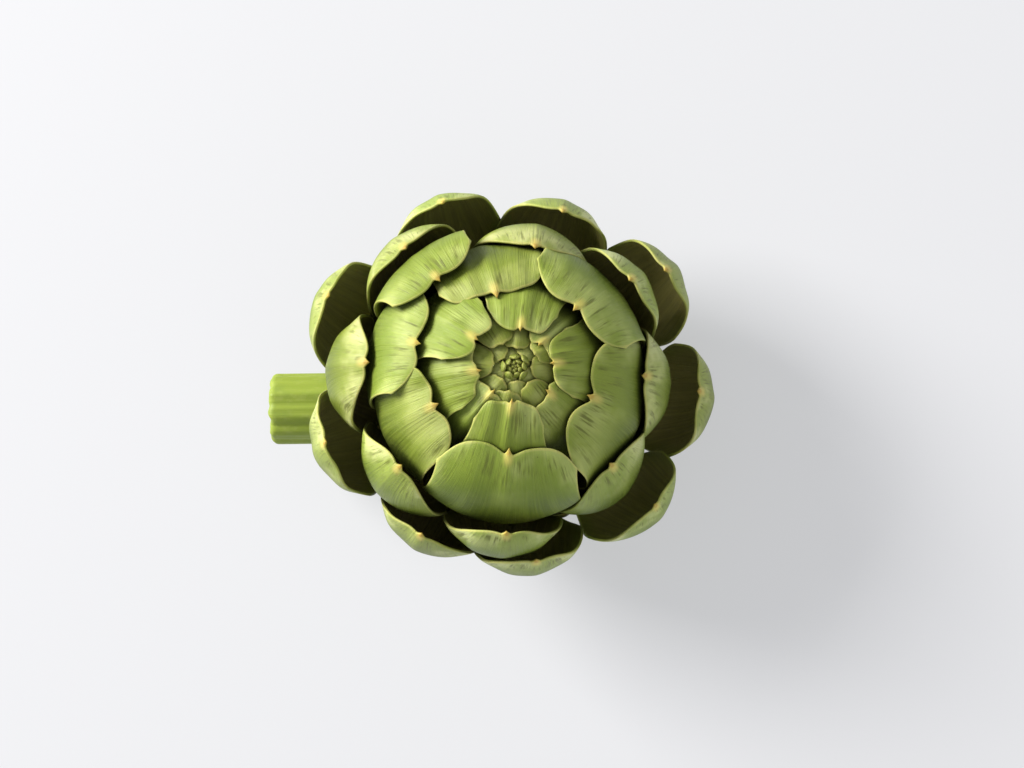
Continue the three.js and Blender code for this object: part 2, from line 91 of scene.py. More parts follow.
# The rings of bracts, from the middle to the stem, with the measures of the solids. A bract's midline runs
# from root, past a low handle (a share of the belly radius, and a height) and one at the height high, to the
# tip. Slope and lift move the tip up or down where its radius and the belly radius differ from the ring's
# mean. Half is half the bract's width, base the share of it at the root and taper what the tip loses of it.
# Cup holds the radius across the bract at its root and its tip, and thick its thickness there. Side and power
# round its end, notch and dip are the depth and the half width of its notch, tooth is the length of its spine
# and the bloom share how much pale bloom, and painted light towards the rim, it shows. A row holds the
# azimuth, the belly radius and the tip's radius and, where they aren't 1, how broad the bract and how deep
# its notch are.
RINGS = [
    {
        "name": "bract_inner", "bloom_and_light_share": 0.45, "root": (14.5, 18), "low": (0.85, 18), "high": 80,
        "tip": 87, "slope": 0.2, "lift": 0.5, "half": 19, "base": 0.33, "taper": 0.56,
        "cup": (14, 34), "thick": (2.4, 1.2), "side": 0.06, "power": 5,
        "notch": 0.8, "dip": 2.2, "tooth": 1.1,
        "rows": [
            (82.5, 29, 9.5), (145, 30.5, 11.5), (-174, 28, 10), (-96.5, 31, 9), (-36, 26, 10.5),
            (6, 28, 9.5), (43, 26, 8.5), (-132, 26.5, 8.5),
        ],
    },
    {
        "name": "bract_third", "bloom_and_light_share": 0.4, "root": (16, 14), "low": (0.84, 10), "high": 74,
        "tip": 83, "slope": 0.45, "lift": 0.4, "half": 19, "base": 0.3, "taper": 0.22,
        "cup": (17, 60), "thick": (3.2, 1.5), "side": 0.06, "power": 5,
        "notch": 1.8, "dip": 4, "tooth": 1.7,
        "rows": [
            (130, 41, 30, 0.88, 0.6), (104, 36, 19.5, 0.93, 0.6), (45, 37.5, 21, 1.08, 0.8),
            (-20, 36, 18.5, 1.2, 1.3), (-94, 38, 20, 1.2, 0.9), (-155, 36.5, 21, 0.84, 1.3),
            (165, 38, 25, 0.92, 0.9),
        ],
    },
    {
        "name": "bract_second", "root": (15.5, 9.5), "low": (0.9, 0), "high": 56,
        "tip": 72, "slope": 0.7, "lift": 0.2, "half": 20.5, "base": 0.27, "taper": 0,
        "cup": (17, 19), "thick": (3.4, 1.5), "side": 0.36, "power": 2.6,
        "notch": 0.6, "dip": 2.4, "tooth": 1.7,
        "rows": [
            (130, 49, 43.5), (80, 43, 33.5, 1.2), (39, 46, 39.5), (-1, 43.5, 34.5), (-43, 43, 35),
            (-92, 46.5, 41), (-140, 45.5, 38), (176, 48.5, 38.5),
        ],
    },
    {
        "name": "bract_outer", "root": (13.5, 4.5), "low": (0.9, -7), "high": 38,
        "tip": 56, "slope": 0.3, "lift": 0.2, "half": 19.5, "base": 0.25, "taper": 0,
        "cup": (17, 18.5), "thick": (3.4, 1.5), "side": 0.36, "power": 2.6,
        "notch": 0.6, "dip": 2.4, "tooth": 1.7,
        "rows": [
            (110.5, 55, 51), (72.5, 53.5, 48), (35.5, 57, 51.5), (-3, 56.5, 50.5), (-40.5, 54.5, 51),
            (-81.5, 51.5, 48.5), (-119.5, 50.5, 47), (-161, 55, 51.5), (155, 57, 53),
        ],
    },
    {
        "name": "bract_lower", "root": (11.5, -0.5), "low": (0.85, -11), "high": 10,
        "tip": 22, "slope": 0, "lift": 0, "half": 12.5, "base": 0.27, "taper": 0,
        "cup": (20, 16), "thick": (2, 1.2), "side": 0.4, "power": 2.3,
        "notch": 0.5, "dip": 2.4, "tooth": 1.2,
        "rows": [
            (91, 37.5, 37), (53.5, 38, 37.5), (15, 38.5, 38), (-22, 37, 36.5), (-62, 37.5, 37),
            (-101, 37, 36.5), (-140, 38, 37.5), (177, 37, 36.5), (133, 38, 37.5),
        ],
    },
]

# What all bracts share. Widths, heights and thicknesses are in millimetres, starts, ends and reaches are
# shares of the length, and the turns round the rim are in degrees, with how much each counts as inner face.
CUP_POWER = 2.5
WIDEN_END = 0.62
TAPER_START = 0.6
TOOTH_WIDTH = 1.3
TOOTH_START = 0.93
TOOTH_POWER = 1.2
KEEL_HEIGHT = 0.35
KEEL_WIDTH = 2.0
KEEL_START = 0.55
EDGE_THICKNESS = 0.7
THICK_END = 0.85
THIN_START = 0.72
MARGIN_POWER = 2.4
RIM_BULGE = 0.45
RIM_TURNS = (45.0, 90.0, 135.0)
RIM_INSIDE = (0.0, 0.2, 0.6)
RIM_WAVE = 0.8
RIPPLE = 0.28
RIPPLE_START = 0.45
RIPPLE_REACH = 0.5
SWELL_SHARE = 1.3
USUAL = {"wave": RIM_WAVE, "ripple": RIPPLE, "spiny": 1.0, "bloom_and_light_share": 1.0, "crevice_shade": 1.0}

# The waves of a bract: how many sines are added up, and the least and the most radians that one turns
# through, from the middle to the rim or from the root to the tip.
RIM_WAVES = (3, 3.0, 9.0)
RIPPLE_WAVES = (3, 5.0, 16.0)
SWELL_WAVES = (2, 4.0, 9.0)

# The meshes: steps along and across a bract, and the powers that crowd them towards its tip and middle.
RING_GRID = (46, 52)
BUD_GRID = (20, 20)
SCALE_GRID = (10, 12)
ALONG_POWER = 0.85
ACROSS_POWER = 1.3
CURVE_STEPS = 201
SOLVER_ROUNDS = 30
SOLVER_GAIN = 1.2
SAME_PLACE = 1e-9

# What the material reads at each point, beside its place on the leaf: the share of its length, how far it is
# from the margin and from the rim at the tip, whether it is on the inner face, how much of a spine and of
# pale bloom and painted light it shows and how much painted shade its crevices get. These are the values of
# all that isn't a bract.
PLAIN_MEASURES = {
    "along": 0.3, "margin": 20.0, "rim": 40.0, "inside": 0.0, "spiny": 0.0, "bloom_and_light_share": 0.0, "crevice_shade": 1.0,
}

# The bud in the middle: two spirals, of small bracts and of finer scales inside them. Bract k has the share
# 1 - k / last of its spiral still ahead, and each of its sizes is a growth times that share to a power, plus
# the least. Point is the radius of the tip. Root holds a share of the belly radius and a height. Cup holds,
# for the root and the tip, a share of the belly radius or of the half width, and the least radius.
GOLDEN_ANGLE = 137.508
SPIRALS = [
    {
        "count": 22, "last": 21, "start": 118.5, "root": (0.5, 30.0), "cup": ((0.8, 2.0), (1.15, 2.0)),
        "grid": BUD_GRID,
        "sizes": {
            "belly": (19.0, 0.9, 2.2), "half": (5.2, 0.8, 1.2), "point": (6.6, 1.15, 0.25),
            "high": (1.0, 1.0, 82.0), "tip": (2.0, 1.0, 84.5), "notch": (0.3, 1.0, 0.0),
            "tooth": (0.5, 1.0, 0.1), "spiny": (0.15, 1.0, 0.0),
        },
        "plain": {
            "low": (1.0, 40.0), "slope": 0.0, "lift": 0.0, "base": 0.9, "taper": 0.1, "thick": (1.3, 0.8),
            "side": 0.12, "power": 4.0, "dip": 2.4, "wave": 0.3, "ripple": 0.08, "bloom_and_light_share": 0.5, "crevice_shade": 0.35,
        },
    },
    {
        "count": 18, "last": 18, "start": 40.0, "root": (0.7, 76.0), "cup": ((0.0, 2.5), (1.3, 0.0)),
        "grid": SCALE_GRID,
        "sizes": {
            "belly": (3.7, 1.0, 0.6), "half": (1.9, 0.7, 0.5), "point": (2.7, 1.1, 0.1),
            "tip": (1.2, 1.0, 85.8),
        },
        "plain": {
            "low": (1.0, 79.0), "high": 84.6, "slope": 0.0, "lift": 0.0, "base": 0.9, "taper": 0.2,
            "thick": (0.5, 0.35), "side": 0.3, "power": 2.4, "notch": 0.0, "dip": 1.0, "tooth": 0.1,
            "wave": 0.12, "ripple": 0.04, "spiny": 0.0, "bloom_and_light_share": 0.8, "crevice_shade": 0.15,
        },
    },
]
CORE_SIDES = 64
CORE_PROFILE = [(0.01, 22.3), (12.5, 22.3), (16, 30), (19, 50), (17, 68), (10, 80), (4, 83), (0.01, 83.5)]

# The stem and the receptacle that it carries. Its ribs are given by their numbers and heights, and the jags
# of its end by their numbers. The face of the cut starts a margin inside the rounded edge, ends near the
# middle and lies a little deeper than the edge.
STEM_AZIMUTH = 180.5
STEM_LINE = [(0, 10), (0, -13.5), (18, -12), (66, -16)]
STEM_RADIUS = 10.0
STEM_FLARE = 3.5
STEM_FLARE_END = 0.16
STEM_LENGTH = 75.0
STEM_RIBS = ((10, 0.35), (17, 0.12), (29, 0.07))
STEM_SIDES = 120
STEM_RINGS = 130
STEM_END_ROUND = 1.7
STEM_END_TURNS = (10, 30, 50, 70, 90)
STEM_JAGS = (4, 7, 11, 16)
STEM_JAG_HEIGHT = 0.5
STEM_JAG_START = 0.85
CUT_MARGIN = 0.7
CUT_MIDDLE = 0.5
CUT_SINK = 0.4
CUT_RINGS = 10
RECEPTACLE_SIDES = 96
PROFILE_STEPS = 8
RECEPTACLE_PROFILE = [
    (0.01, -2), (10, -2), (12.5, 1), (15, 7), (16.5, 12), (15, 19), (11, 22), (0.01, 22),
]

# Colours, as linear red, green and blue.
DEEP_GREEN = (0.29, 0.39, 0.04)
LEAF_GREEN = (0.27, 0.36, 0.035)
BRIGHT_GREEN = (0.44, 0.53, 0.10)
DARK_RIB = (0.18, 0.25, 0.03)
PALE_LINE = (0.45, 0.54, 0.12)
OLIVE = (0.15, 0.17, 0.028)
# Painted shade for the crevices between bracts
CREVICE_SHADE_COLOUR = (0.035, 0.045, 0.008)
# A pale waxy bloom, which also paints light onto the bracts towards their rims
BLOOM_AND_LIGHT_COLOUR = (0.66, 0.70, 0.30)
# Painted shade towards a bract's base, where the next bract covers it, in a darker and a lighter green
SHADE_GREEN = (0.09, 0.13, 0.016)
SHADE_LIGHT = (0.17, 0.225, 0.03)
BACK_DARK = (0.40, 0.36, 0.12)
BACK_LIGHT = (0.50, 0.46, 0.15)
BACK_RIM = (0.36, 0.38, 0.09)
RIM_CREAM = (0.60, 0.585, 0.17)
SPINE_CREAM = (0.74, 0.64, 0.17)
SPINE_AMBER = (0.55, 0.35, 0.06)
SPECK = (0.1, 0.07, 0.02)
STEM_PALE = (0.42, 0.50, 0.11)
STEM_DARK = (0.29, 0.38, 0.045)
STEM_LIGHT = (0.34, 0.43, 0.06)
STEM_MOSS = (0.25, 0.34, 0.055)
STEM_CUT = (0.42, 0.44, 0.18)
STEM_PITH = (0.5, 0.5, 0.26)

# The noises of a bract. The lines fan out from its tip: their density, their stretch along it and their
# detail. The others are stretched across and along it, or have a scale and a detail.
RIB_LINES = (70.0, 0.03, 4.0)
FINE_LINES = (260.0, 0.09, 3.0)
BRUSH_LINES = (44.0, 0.1, 3.0)
LINE_ROUGHNESS = 0.6
FAN_REACH = 30.0
TONE_SHIFT = 57.0
PATCH_STRETCH = (0.09, 0.06)
SPECK_STRETCH = (0.6, 0.45)
AREA_NOISE = (0.13, 2.0)
SPECK_NOISE = (0.35, 3.0)

# Where the markings of a bract lie, in millimetres from the rim at its tip, from its margin or from its
# midline, or as a share of its length. Each begins at the first value and is full at the second. Two more
# values say how much of it shows there, where that isn't none and all.
LENGTH_BAND = (0.2, 0.9)
# Pale bloom with painted light, strongest near the rim
BLOOM_AND_LIGHT_BAND = (16.0, 1.0, 0.0, 0.85)
STREAK_BAND = (13.0, 3.0)
STREAK_MARGIN = (0.4, 2.2)
# Painted shade, growing from near the rim towards the base
SHADE_BAND = (3.5, 20.0, 0.0, 0.82)
BACK_RIM_BAND = (6.0, 0.0, 0.0, 0.8)
RIM_BAND = (0.5, 0.1)
SPINE_WIDTH = (1.9, 0.3)
SPINE_BAND = (3.2, 0.4, 0.0, 0.85)
POINT_WIDTH = (1.0, 0.2)
POINT_BAND = (0.1, -0.7, 0.0, 0.7)
SPECK_BAND = (9.0, 2.0, 0.0, 0.6)

# The same for the values of a noise, for the distance from a speck's middle and for how open a crevice is,
# which sets how much painted shade it gets.
BRIGHT_RANGE = (0.42, 0.66, 0.0, 0.8)
RIB_RANGE = (0.42, 0.66, 0.0, 0.35)
FINE_RANGE = (0.5, 0.75, 0.0, 0.3)
BLOOM_AND_LIGHT_RANGE = (0.42, 0.66, 0.2, 1.0)
BRUSH_RANGE = (0.49, 0.64, 0.0, 0.8)
AREA_RANGE = (0.36, 0.56, 0.15, 1.0)
SHADE_RIB_RANGE = (0.38, 0.66)
BACK_RANGE = (0.35, 0.7)
RIM_RANGE = (0.35, 0.6, 0.3, 0.75)
SPECK_RANGE = (0.52, 0.6)
SPECK_SIZE = (0.13, 0.05)
CREVICE_SHADE_RANGE = (0.8, 0.18, 0.0, 0.92)
HUE_RANGE = (0.0, 1.0, 0.494, 0.506)
VALUE_RANGE = (0.0, 1.0, 0.92, 1.06)

# How the surface of a bract takes the light: lengths in metres, and for the bump its strength and its height.
# The reach says how near a surface has to be for a crevice to get painted shade.
CREVICE_SHADE_REACH = 0.008
CREVICE_SHADE_SAMPLES = 6
LEAF_FINISH = {
    "Specular IOR Level": 0.3, "Subsurface Weight": 0.12,
    "Subsurface Radius": (0.35, 0.5, 0.1), "Subsurface Scale": 0.003,
}
LEAF_ROUGHNESS = (0.3, 0.7, 0.42, 0.56)
LEAF_BUMP = (0.5, 0.0006)
RIB_BUMP = 0.7
FINE_BUMP = 0.25

# The stem's noises, read on a ring round it: their stretch along it, their scale and their detail. Then where
# they show, as above, and where its cut and its pith begin and are full, in millimetres in from its side.
NOISE_RING = 9.0
STALK_RIB_NOISE = (0.05, 0.55, 4.0)
STALK_MOSS_NOISE = (0.5, 0.35, 4.0)
STALK_PALE_NOISE = (0.9, 0.5, 3.0)
CUT_NOISE = (1.6, 3.0)
STALK_RIB_RANGE = (0.3, 0.72)
STALK_MOSS_RANGE = (0.42, 0.66, 0.0, 0.6)
STALK_PALE_RANGE = (0.5, 0.7, 0.0, 0.5)
CUT_RANGE = (0.45, 0.65, 0.0, 0.5)
CUT_BAND = (1.5, 2.6)
PITH_BAND = (2.5, 4.5)
STALK_FINISH = {
    "Roughness": 0.55, "Specular IOR Level": 0.35, "Subsurface Weight": 0.15,
    "Subsurface Radius": (0.4, 0.5, 0.15), "Subsurface Scale": 0.003,
}
STALK_BUMP = (0.25, 0.0008)

rng = np.random.default_rng(SEED)


def smooth(x):
    x = np.clip(x, 0.0, 1.0)
    return x * x * (3.0 - 2.0 * x)


def lerp(a, b, t):
    return a + (b - a) * t


def bezier(control, u):
    """Points and unit tangents of a cubic Bezier curve at the shares u."""
    u = np.asarray(u, float)[..., None]
    p0, p1, p2, p3 = [np.array(p, float) for p in control]
    rest = 1.0 - u
    point = rest**3 * p0 + 3 * u * rest**2 * p1 + 3 * u * u * rest * p2 + u**3 * p3
    slope = 3 * rest**2 * (p1 - p0) + 6 * u * rest * (p2 - p1) + 3 * u * u * (p3 - p2)
    return point, slope / np.linalg.norm(slope, axis=-1, keepdims=True)


def make_bract(ring, row, mean_belly, mean_tip):
    """A bract's measures, with its midline curve solved so that its widest radius is the belly radius."""
    azimuth, belly, tip, breadth, dent = (*row, 1, 1)[:5]
    ring = {**USUAL, **ring}
    ring.update(half=ring["half"] * breadth, notch=ring["notch"] * dent)
    height = ring["tip"] - ring["slope"] * (tip - mean_tip) + ring["lift"] * (belly - mean_belly)
    control = [ring["root"], (belly * ring["low"][0], ring["low"][1]), [belly, ring["high"]], (tip, height)]
    shares = np.linspace(0, 1, CURVE_STEPS)
    for _ in range(SOLVER_ROUNDS):
        widest = bezier(control, shares)[0][:, 0].max()
        control[2][0] += SOLVER_GAIN * (belly - widest)
    points = bezier(control, shares)[0]
    length = float(np.linalg.norm(np.diff(points, axis=0), axis=1).sum())
    return {**ring, "control": control, "length": length, "azimuth": math.radians(azimuth)}


def end_share(b, v):
    """Where the bract ends, as a share of its midline, at the place v across it."""
    notch = b["notch"] / b["length"] * np.exp(-((v * b["half"] / b["dip"]) ** 2))
    return 1.0 - b["side"] * np.abs(v) ** b["power"] - notch


def half_width(b, u):
    """Half the bract's width at the share u of its midline."""
    widen = b["base"] + (1.0 - b["base"]) * smooth(u / WIDEN_END)
    return b["half"] * widen * (1.0 - b["taper"] * smooth((u - TAPER_START) / (1.0 - TAPER_START)))


def surface(b, u, v):
    """Points of the outer face and its normals."""
    point, tangent = bezier(b["control"], u)
    out = np.array([math.cos(b["azimuth"]), math.sin(b["azimuth"]), 0.0])
    across = np.array([-math.sin(b["azimuth"]), math.cos(b["azimuth"]), 0.0])
    up = np.array([0.0, 0.0, 1.0])
    normal = tangent[..., 1:] * out - tangent[..., :1] * up
    radius = lerp(b["cup"][0], b["cup"][1], np.maximum(u, 0.0) ** CUP_POWER)
    turn = v * half_width(b, u) / radius
    place = point[..., :1] * out + point[..., 1:] * up
    place = place + (np.sin(turn) * radius)[..., None] * across
    place = place - (radius * (1.0 - np.cos(turn)))[..., None] * normal
    face = np.cos(turn)[..., None] * normal + np.sin(turn)[..., None] * across
    return place, face


def thickness(b, share, u, v):
    """The bract's thickness: most along its middle, least at its margin and its end."""
    middle = lerp(b["thick"][0], b["thick"][1], smooth(u / THICK_END))
    to_end = 1.0 - smooth((share - THIN_START) / (1.0 - THIN_START))
    thinning = (1.0 - np.abs(v) ** MARGIN_POWER) * to_end
    return EDGE_THICKNESS + np.maximum(middle - EDGE_THICKNESS, 0.0) * thinning


def waves(v, count, low, high):
    """A smooth, seeded wave along v, between about -1 and 1."""
    total = np.zeros_like(v)
    for _ in range(count):
        total += np.sin(v * rng.uniform(low, high) + rng.uniform(0, 2 * math.pi))
    return total / count


def rim_strips(outer, inner, thick, index, rim):
    """Rows of points that round the rim between the outer and the inner face."""
    rows, columns = index.shape
    nearer = np.clip(np.stack(np.unravel_index(rim, index.shape), 1), 1, (rows - 2, columns - 2))
    nearer = index[nearer[:, 0], nearer[:, 1]]
    outer, inner = outer.reshape(-1, 3), inner.reshape(-1, 3)
    outward = outer[rim] - outer[nearer]
    outward /= np.linalg.norm(outward, axis=1, keepdims=True) + SAME_PLACE
    edge = thick.reshape(-1)[rim][:, None]
    middle = (outer[rim] + inner[rim]) / 2
    normal = (outer[rim] - inner[rim]) / 2
    strips = []
    for turn in np.radians(RIM_TURNS):
        bulge = outward * edge * RIM_BULGE * math.sin(turn)
        strips.append(middle + normal * math.cos(turn) + bulge)
    return strips


def bract_mesh(b, grid):
    """Vertices, faces and the surface measures of a closed bract with a rounded rim."""
    along, across = grid
    places = np.linspace(-1, 1, across + 1)
    places = np.sign(places) * np.abs(places) ** ACROSS_POWER
    shares = np.linspace(0, 1, along + 1) ** ALONG_POWER
    share, v = np.meshgrid(shares, places, indexing="ij")
    offset = np.abs(v * b["half"])
    tooth = b["tooth"] / b["length"] * np.clip(1 - offset / TOOTH_WIDTH, 0, 1) ** TOOTH_POWER
    end = end_share(b, v) + b["wave"] / b["length"] * waves(v, *RIM_WAVES)
    u = share * end + tooth * smooth((share - TOOTH_START) / (1 - TOOTH_START))
    outer, face = surface(b, u, v)
    keel = KEEL_HEIGHT * np.exp(-((offset / KEEL_WIDTH) ** 2))
    keel = keel * smooth((share - KEEL_START) / (1 - KEEL_START))
    ripple = b["ripple"] * waves(v, *RIPPLE_WAVES) * smooth((share - RIPPLE_START) / RIPPLE_REACH)
    swell = SWELL_SHARE * b["ripple"] * waves(share, *SWELL_WAVES) * (1 - v * v)
    outer = outer + face * (keel + ripple + swell)[..., None]
    thick = thickness(b, share, u, v)
    inner = outer - face * thick[..., None]

    count = u.size
    index = np.arange(count).reshape(u.shape)
    first, last = index[:-1, :-1].ravel(), index[1:, 1:].ravel()
    beside, beyond = index[:-1, 1:].ravel(), index[1:, :-1].ravel()
    faces = list(zip(first, beside, last, beyond))
    faces += list(zip(first + count, beyond + count, last + count, beside + count))
    rim = np.concatenate([index[0, :-1], index[:-1, -1], index[-1, :0:-1], index[:0:-1, 0]])
    strips = len(RIM_TURNS)
    paths = [np.arange(len(rim)) + 2 * count + k * len(rim) for k in range(strips)]
    paths = [rim, *paths, rim + count]
    for one, other in zip(paths[:-1], paths[1:]):
        faces += list(zip(one, other, np.roll(other, -1), np.roll(one, -1)))
    rounded = rim_strips(outer, inner, thick, index, rim)
    vertices = np.concatenate([outer.reshape(-1, 3), inner.reshape(-1, 3), *rounded])

    width = half_width(b, u)
    leaf = np.stack([v * width, u * b["length"], b["length"] * (1 - u)], -1).reshape(-1, 3)
    margin = np.minimum((1 - np.abs(v)) * width, (1 - share) * b["length"] * end).ravel()
    source = np.concatenate([np.arange(count), np.arange(count), *[rim] * strips])
    measures = {
        "leaf": leaf[source],
        "along": u.ravel()[source],
        "rim": (b["length"] * (end - u)).ravel()[source],
        "margin": np.where(np.arange(len(source)) < 2 * count, margin[source], 0.0),
        "inside": np.repeat([0.0, 1.0, *RIM_INSIDE], [count, count, *[len(rim)] * strips]),
        **{name: np.full(len(source), b[name]) for name in ("spiny", "bloom_and_light_share", "crevice_shade")},
    }
    return vertices, faces, measures


def merge_meshes(parts):
    """Several meshes as one."""
    vertices, faces, measures, start = [], [], {}, 0
    for part_vertices, part_faces, part_measures in parts:
        vertices.append(part_vertices)
        faces += [tuple(int(k) + start for k in face) for face in part_faces]
        start += len(part_vertices)
        for name, values in part_measures.items():
            measures.setdefault(name, []).append(values)
    return np.concatenate(vertices), faces, {name: np.concatenate(v) for name, v in measures.items()}


def plain_measures(leaf):
    """What the material reads on a mesh that isn't a bract."""
    return {"leaf": leaf, **{name: np.full(len(leaf), value) for name, value in PLAIN_MEASURES.items()}}


def tube_faces(rings, sides):
    """The faces of a tube of rings and of its two ends."""
    faces = []
    for low in range(0, (rings - 1) * sides, sides):
        for j in range(sides):
            k = (j + 1) % sides
            faces.append((low + j, low + k, low + sides + k, low + sides + j))
    faces.append(tuple(range(sides))[::-1])
    faces.append(tuple(range((rings - 1) * sides, rings * sides)))
    return faces


def turned_mesh(profile, sides):
    """A turned body from a profile of (r, w), with rings between its corners."""
    corners = np.array(profile, float)
    steps = np.linspace(0, len(corners) - 1, PROFILE_STEPS * len(corners))
    radii = np.interp(steps, range(len(corners)), corners[:, 0])
    heights = np.interp(steps, range(len(corners)), corners[:, 1])
    turns = np.linspace(0, 2 * math.pi, sides, endpoint=False)
    radius, turn = np.meshgrid(radii, turns, indexing="ij")
    height = np.meshgrid(heights, turns, indexing="ij")[0]
    vertices = np.stack([radius * np.cos(turn), radius * np.sin(turn), height], -1).reshape(-1, 3)
    leaf = np.stack([radius * turn, height, height], -1).reshape(-1, 3)
    return vertices, tube_faces(len(radii), sides), plain_measures(leaf)


def stem_mesh():
    """The bent, ribbed stem, with a rounded and slightly uneven cut end."""
    angle = math.radians(STEM_AZIMUTH)
    out = np.array([math.cos(angle), math.sin(angle), 0.0])
    side = np.array([-math.sin(angle), math.cos(angle), 0.0])
    up = np.array([0.0, 0.0, 1.0])
    turns = np.linspace(0, 2 * math.pi, STEM_SIDES, endpoint=False)
    starts = rng.uniform(0, 2 * math.pi, len(STEM_RIBS))
    ribs = sum(height * np.cos(count * turns + start) for (count, height), start in zip(STEM_RIBS, starts))
    jags = sum(np.cos(count * turns + rng.uniform(0, 2 * math.pi)) for count in STEM_JAGS) / len(STEM_JAGS)
    jags = STEM_JAG_HEIGHT * (jags - 1)
    vertices, leaf = [], []

    def add_ring(share, shrink, slide):
        point, tangent = bezier(STEM_LINE, share)
        along = tangent[0] * out + tangent[1] * up
        cross = np.cross(along, side)
        flare = STEM_FLARE * math.exp(-((share / STEM_FLARE_END) ** 2))
        radius = STEM_RADIUS + flare + ribs - shrink
        centre = point[0] * out + point[1] * up + np.multiply.outer(slide * np.ones(STEM_SIDES), along)
        ring = centre + (np.cos(turns) * radius)[:, None] * side + (np.sin(turns) * radius)[:, None] * cross
        vertices.append(ring)
        leaf.append(np.stack([turns * STEM_RADIUS, np.full(STEM_SIDES, share * STEM_LENGTH), radius], -1))

    for share in np.linspace(0, 1, STEM_RINGS)[:-2]:
        add_ring(share, 0.0, jags * smooth((share - STEM_JAG_START) / (1 - STEM_JAG_START)))
    for turn in np.radians(STEM_END_TURNS):
        add_ring(1.0, STEM_END_ROUND * (1 - math.cos(turn)), STEM_END_ROUND * (math.sin(turn) - 1) + jags)
    for shrink in np.linspace(STEM_END_ROUND + CUT_MARGIN, STEM_RADIUS - CUT_MIDDLE, CUT_RINGS):
        add_ring(1.0, shrink, jags * (1 - shrink / STEM_RADIUS) - CUT_SINK)
    faces = tube_faces(len(vertices), STEM_SIDES)
    return np.concatenate(vertices), faces, plain_measures(np.concatenate(leaf))


def bud_mesh():
    """The closed middle: small bracts and finer scales on golden-angle spirals, over a core."""
    parts = [turned_mesh(CORE_PROFILE, CORE_SIDES)]
    for spiral in SPIRALS:
        root_share, root_height = spiral["root"]
        for k in range(spiral["count"]):
            rest = 1.0 - k / spiral["last"]
            ring = dict(spiral["plain"])
            for name, (growth, power, least) in spiral["sizes"].items():
                ring[name] = growth * rest**power + least
            ring["root"] = (ring["belly"] * root_share, root_height)
            widths = (ring["belly"], ring["half"])
            ring["cup"] = [max(width * part, least) for width, (part, least) in zip(widths, spiral["cup"])]
            row = (spiral["start"] + k * GOLDEN_ANGLE, ring["belly"], ring["point"])
            bract = make_bract(ring, row, ring["belly"], ring["point"])
            parts.append(bract_mesh(bract, spiral["grid"]))
    return merge_meshes(parts)


lean_angle = math.radians(LEAN_AZIMUTH)
lean_axis = Vector((-math.sin(lean_angle), math.cos(lean_angle), 0.0))
lean = Quaternion(lean_axis, math.radians(LEAN)).to_matrix().to_4x4()
pose = Matrix.Translation(Vector(HEAD_BASE) * MM) @ lean
pose_array = np.array(pose)


def to_row(vertices):
    """Head frame millimetres to row frame metres, pressed flat where they would dip below the table."""
    placed = (vertices * MM) @ pose_array[:3, :3].T + pose_array[:3, 3]
    placed[:, 2] = np.maximum(placed[:, 2], 0.0)
    return placed


def add_piece(name, shape, material, node):
    """A piece in the scene, in place of a solid's node."""
    vertices, faces, measures = shape
    mesh = bpy.data.meshes.new(name)
    mesh.from_pydata(to_row(vertices).tolist(), [], [tuple(int(k) for k in face) for face in faces])
    mesh.polygons.foreach_set("use_smooth", [True] * len(mesh.polygons))
    tone = float(rng.uniform(0.0, 1.0))
    for key in PLAIN_MEASURES:
        mesh.attributes.new(key, "FLOAT", "POINT").data.foreach_set("value", measures[key])
    leaf = mesh.attributes.new("leaf", "FLOAT_VECTOR", "POINT")
    leaf.data.foreach_set("vector", measures["leaf"].ravel())
    mesh.attributes.new("tone", "FLOAT", "POINT").data.foreach_set("value", [tone] * len(vertices))
    mesh.materials.append(material)
    mesh.update()
    piece = bpy.data.objects.new(name, mesh)
    bpy.context.scene.collection.objects.link(piece)
    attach(piece, "root")
    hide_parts(node)


